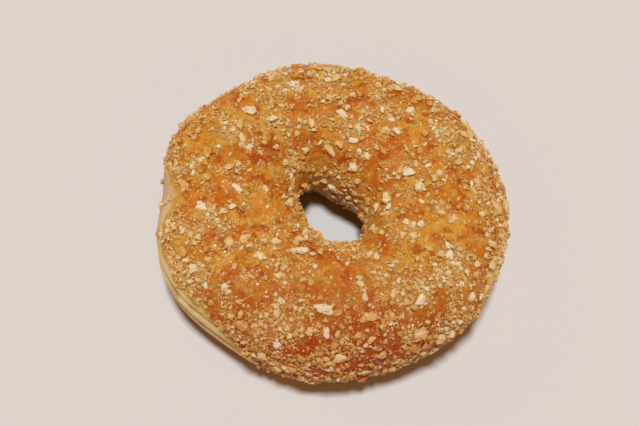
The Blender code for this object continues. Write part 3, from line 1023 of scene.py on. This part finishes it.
class DoughnutStage(bpy.types.PropertyGroup):
    """The floor, the light and the camera."""

    floor_size: number_setting("Floor size", "Side of the floor", 12.0, "LENGTH", 0.1)
    floor_colour: colour_setting("Floor", "Colour of the floor", 0.71, 0.706, 0.7)
    key_strength: number_setting("Key light", "Strength of the main light", 2.55)
    key_spread: number_setting("Key spread", "How wide the main light looks", math.radians(10), "ROTATION")
    fill: number_setting("Fill light", "Brightness of the soft light from all round", 0.26)
    lens: number_setting("Lens", "Focal length", 60.0, "CAMERA", 1.0)


# ----------
# Operators
# ----------
class DOUGHNUT_OT_dough(bpy.types.Operator):
    """Makes the glazed ring of dough"""

    bl_idname = "doughnut.dough"
    bl_label = "Dough"

    def execute(self, context):
        make_dough(make_dough_material(context.scene.doughnut_colours))
        return {"FINISHED"}


class DOUGHNUT_OT_crumbs(bpy.types.Operator):
    """Makes the chunks and crumbs of the topping, one piece for each kind"""

    bl_idname = "doughnut.crumbs"
    bl_label = "Crumbs"

    def execute(self, context):
        colours, topping = context.scene.doughnut_colours, context.scene.doughnut_topping
        draw = random.Random(KIND_SEED)
        kinds = {kind: [] for kind in CRUMB_KINDS}
        taken = {}
        for place, stand, length, width, height, kind in place_crumbs():
            if kind is None:
                names, shares = zip(*FUSED_KINDS)
                kind = draw.choices(names, shares)[0]
                if in_hole(place) and kind != "pale":
                    kind = "soaked"
            kinds[kind].append((place, stand, length, width, height))
            taken.setdefault((place / TAKEN_CELL).to_tuple(0), []).append((place, length))
        surface = surface_of(bpy.data.objects["glazed_dough"])
        for kind, shortest, longest, flatness, seed in FINER_CRUMBS:
            count = getattr(topping, kind)
            kinds[kind] += spread_crumbs(surface, taken, count, shortest, longest, flatness, FINER_GAP, seed)
            kinds[kind] += wall_crumbs(kind)
        for seed, (kind, (light, dark, soak, roughness, coat)) in enumerate(CRUMB_KINDS.items()):
            tones = getattr(colours, light), getattr(colours, dark), colours.glaze_amber, colours.glaze_orange
            material = make_crumb_material(kind + "_crumb", *tones, soak, roughness, coat)
            large = [crumb for crumb in kinds[kind] if crumb[2] >= LARGE_CRUMB]
            small = [crumb for crumb in kinds[kind] if crumb[2] < LARGE_CRUMB]
            shapes = crumb_shapes(seed * KIND_STEP, LARGE_SHAPES, CHUNK_FORM)
            make_crumbs(kind + "_chunks", large, shapes, (CRUMB_SUNK, CRUMB_SUNK), material, seed)
            if small:
                shapes = crumb_shapes(seed * KIND_STEP + SMALL_STEP, SMALL_SHAPES, SMALL_FORM)
                make_crumbs(kind + "_crumbs", small, shapes, SUNK_RANGE, material, seed)
        return {"FINISHED"}


class DOUGHNUT_OT_grains(bpy.types.Operator):
    """Makes the finest crumbs and sugar grains"""

    bl_idname = "doughnut.grains"
    bl_label = "Grains"

    def execute(self, context):
        colours, topping = context.scene.doughnut_colours, context.scene.doughnut_topping
        surface = surface_of(bpy.data.objects["glazed_dough"])
        shapes = crumb_shapes(GRAIN_SHAPE_SEED, GRAIN_SHAPES, GRAIN_FORM)
        spread = *GRAIN_SIZES, GRAIN_FLATNESS, GRAIN_GAP, GRAIN_PLACE_SEED, GRAIN_BARE_SHARE
        grains = spread_crumbs(surface, {}, topping.grains, *spread)
        tones = colours.grain, colours.glazed_crumb, colours.glaze_amber, colours.glaze_orange
        material = make_crumb_material("grain", *tones, *GRAIN_LOOK)
        make_crumbs("sugar_grains", grains, shapes, SUNK_RANGE, material, GRAIN_TONE_SEED, soft=False)
        return {"FINISHED"}


class DOUGHNUT_OT_stage(bpy.types.Operator):
    """Makes the floor, the light and the camera"""

    bl_idname = "doughnut.stage"
    bl_label = "Floor, light and camera"

    def execute(self, context):
        stage = context.scene.doughnut_stage
        make_floor(stage)
        make_light(context.scene, stage)
        make_camera(context.scene, stage)
        return {"FINISHED"}


class DOUGHNUT_PT_panel(bpy.types.Panel):
    """Lists the doughnut's pieces and settings"""

    bl_label = "Doughnut"
    bl_space_type = "VIEW_3D"
    bl_region_type = "UI"
    bl_category = "Doughnut"

    def draw(self, context):
        for operator in OPERATORS:
            self.layout.operator(operator.bl_idname)
        for name in SETTINGS:
            settings = getattr(context.scene, name)
            box = self.layout.box()
            for key in settings.bl_rna.properties.keys():
                if key not in ("rna_type", "name"):
                    box.prop(settings, key)


OPERATORS = (DOUGHNUT_OT_dough, DOUGHNUT_OT_crumbs, DOUGHNUT_OT_grains, DOUGHNUT_OT_stage)
SETTINGS = {
    "doughnut_colours": DoughnutColours,
    "doughnut_topping": DoughnutTopping,
    "doughnut_stage": DoughnutStage,
}


# ----------
# The stage
# ----------
def make_floor(stage):
    half = stage.floor_size / 2
    mesh = bpy.data.meshes.new("floor")
    corners = [(x * half, y * half, -FLOOR_GAP) for x, y in ((-1, -1), (1, -1), (1, 1), (-1, 1))]
    mesh.from_pydata(corners, [], [(0, 1, 2, 3)])
    material = bpy.data.materials.new("floor")
    material.use_nodes = True
    surface = material.node_tree.nodes["Principled BSDF"].inputs
    surface["Base Color"].default_value = stage.floor_colour
    surface["Roughness"].default_value = FLOOR_ROUGHNESS
    mesh.materials.append(material)
    floor = add_object("floor", mesh)


def make_light(scene, stage):
    light = bpy.data.lights.new("key", "SUN")
    light.angle = stage.key_spread
    light.energy = stage.key_strength
    light.color = KEY_COLOUR
    key = add_object("key", light)
    key.location = CAMERA_TARGET + KEY_DIRECTION
    key.rotation_mode = "QUATERNION"
    key.rotation_quaternion = KEY_DIRECTION.to_track_quat("Z", "Y")
    world = bpy.data.worlds.new("soft_light")
    scene.world = world
    world.use_nodes = True
    tree = world.node_tree
    sky = tree.nodes["Background"]
    sky.inputs["Color"].default_value = FILL_COLOUR
    direction = add_node(tree, "ShaderNodeTexCoord").outputs["Generated"]
    rise = add_node(tree, "ShaderNodeSeparateXYZ", {0: direction}).outputs["Z"]
    strength = ramp(tree, rise, *FILL_EDGE, stage.fill * FILL_LOW, stage.fill * FILL_HIGH, "SMOOTHSTEP")
    tree.links.new(strength, sky.inputs["Strength"])
    backdrop = add_node(tree, "ShaderNodeBackground", {"Color": BACKDROP_COLOUR}).outputs[0]
    seen = add_node(tree, "ShaderNodeLightPath").outputs["Is Camera Ray"]
    both = add_node(tree, "ShaderNodeMixShader", {0: seen, 1: sky.outputs[0], 2: backdrop}).outputs[0]
    tree.links.new(both, tree.nodes["World Output"].inputs["Surface"])


def make_camera(scene, stage):
    data = bpy.data.cameras.new("camera")
    data.lens = stage.lens
    data.sensor_width = CAMERA_SENSOR
    camera = add_object("camera", data)
    rise, roll = CAMERA_RISE, CAMERA_ROLL
    back = Vector((0, -math.cos(rise), math.sin(rise)))
    level, upright = Vector((1, 0, 0)), Vector((0, math.sin(rise), math.cos(rise)))
    right = math.cos(roll) * level + math.sin(roll) * upright
    up = math.cos(roll) * upright - math.sin(roll) * level
    camera.matrix_world = Matrix.Translation(CAMERA_TARGET + back * CAMERA_DISTANCE) @ (
        Matrix((right, up, back)).transposed().to_4x4()
    )
    scene.camera = camera
    scene.view_settings.view_transform = "Standard"


def register():
    for part in (*SETTINGS.values(), *OPERATORS, DOUGHNUT_PT_panel):
        bpy.utils.register_class(part)
    for name, settings in SETTINGS.items():
        setattr(bpy.types.Scene, name, bpy.props.PointerProperty(type=settings))


def unregister():
    for name in SETTINGS:
        delattr(bpy.types.Scene, name)
    for part in (DOUGHNUT_PT_panel, *reversed(OPERATORS), *reversed(SETTINGS.values())):
        bpy.utils.unregister_class(part)


def main():
    register()
    bpy.ops.doughnut.dough()
    bpy.ops.doughnut.crumbs()
    bpy.ops.doughnut.grains()
    bpy.ops.doughnut.stage()


if __name__ == "__main__":
    main()
